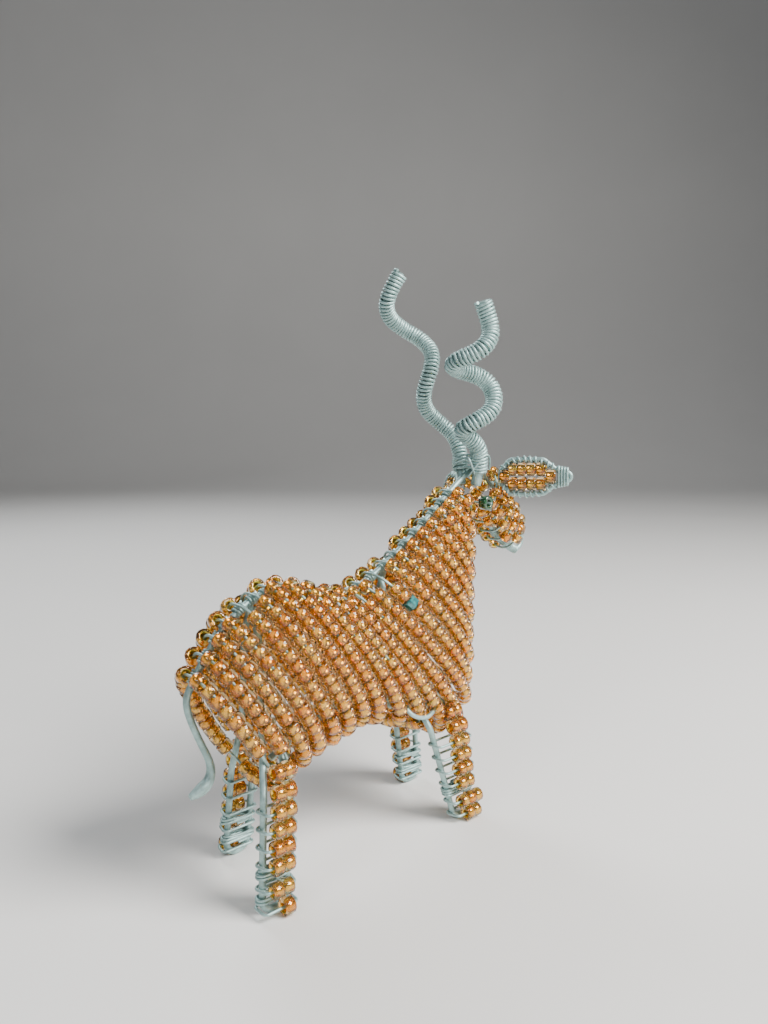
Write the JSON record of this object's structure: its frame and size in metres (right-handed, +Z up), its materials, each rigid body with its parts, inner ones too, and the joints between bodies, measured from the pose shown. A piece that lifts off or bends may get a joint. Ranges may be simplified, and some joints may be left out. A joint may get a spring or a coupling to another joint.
{
  "type": "beaded wire kudu figure",
  "caption": "Small standing kudu antelope figure of clear glass beads threaded on thin wire over a bent wire armature, with spiral wire-wound horns.",
  "frame": {"origin": "on the floor under the middle of the bounding box of the whole figure", "axes": "+X from tail to nose, +Y to the animal's left, +Z up from the hoofs to the horns"},
  "size_m": [0.091, 0.037, 0.1165],
  "materials": {
    "glass_bead": "clear pale pink glass with a gold lining in the hole",
    "green_bead": "dark green glass",
    "teal_bead": "teal green glass",
    "frame_wire": "dull galvanised steel wire",
    "thin_wire": "thin galvanised binding wire"
  },
  "bodies": {
    "figure": {"back_wire": "frame_wire", "belly_wire": "frame_wire", "right_hind_leg_wire": "frame_wire", "left_hind_leg_wire": "frame_wire", "right_fore_leg_wire": "frame_wire", "left_fore_leg_wire": "frame_wire", "right_horn_core": "frame_wire", "right_horn_winding": "thin_wire", "left_horn_core": "frame_wire", "left_horn_winding": "thin_wire", "body_hoop_01": "glass_bead", "body_hoop_02": "glass_bead", "body_hoop_03": "glass_bead", "body_hoop_04": "glass_bead", "body_hoop_05": "glass_bead", "body_hoop_06": "glass_bead", "body_hoop_07": "glass_bead", "body_hoop_08": "glass_bead", "body_hoop_09": "glass_bead", "body_hoop_10": "glass_bead", "body_hoop_11": "glass_bead", "body_hoop_12": "glass_bead", "body_hoop_13": "glass_bead", "accent_bead": "teal_bead", "body_hoop_14": "glass_bead", "body_hoop_15": "glass_bead", "body_hoop_16": "glass_bead", "body_hoop_17": "glass_bead", "body_hoop_18": "glass_bead", "body_hoop_19": "glass_bead", "body_hoop_20": "glass_bead", "body_hoop_21": "glass_bead", "body_hoop_22": "glass_bead", "body_threads": "thin_wire", "right_ear_wire": "frame_wire", "right_ear_beads": "glass_bead", "right_ear_thin_wire": "thin_wire", "left_ear_wire": "frame_wire", "left_ear_beads": "glass_bead", "left_ear_thin_wire": "thin_wire", "head_hoop_1": "glass_bead", "head_hoop_2": "glass_bead", "head_hoop_3": "glass_bead", "head_hoop_4": "glass_bead", "head_hoop_5": "glass_bead", "head_threads": "thin_wire", "eye_wire": "thin_wire", "right_hind_leg_beads": "glass_bead", "right_hind_leg_lacing": "thin_wire", "left_hind_leg_beads": "glass_bead", "left_hind_leg_lacing": "thin_wire", "right_fore_leg_beads": "glass_bead", "right_fore_leg_lacing": "thin_wire", "left_fore_leg_beads": "glass_bead", "left_fore_leg_lacing": "thin_wire", "back_bindings": "thin_wire", "crown_binding": "thin_wire"},
    "loose_bead": {"loose_hoof_bead": "glass_bead"},
    "right_eye": {"right_eye_bead": "green_bead"},
    "left_eye": {"left_eye_bead": "green_bead"}
  },
  "joints": [
    {"name": "loose_bead_spin", "type": "hinge", "parent": "figure", "child": "loose_bead", "pos_m": [-0.03365, -0.01153, 0.0016], "axis": [1, 0, 0], "continuous": true},
    {"name": "right_eye_spin", "type": "hinge", "parent": "figure", "child": "right_eye", "pos_m": [0.02445, -0.00503, 0.0662], "axis": [0, 1, 0], "continuous": true},
    {"name": "left_eye_spin", "type": "hinge", "parent": "figure", "child": "left_eye", "pos_m": [0.02445, 0.00697, 0.0662], "axis": [0, 1, 0], "continuous": true}
  ]
}
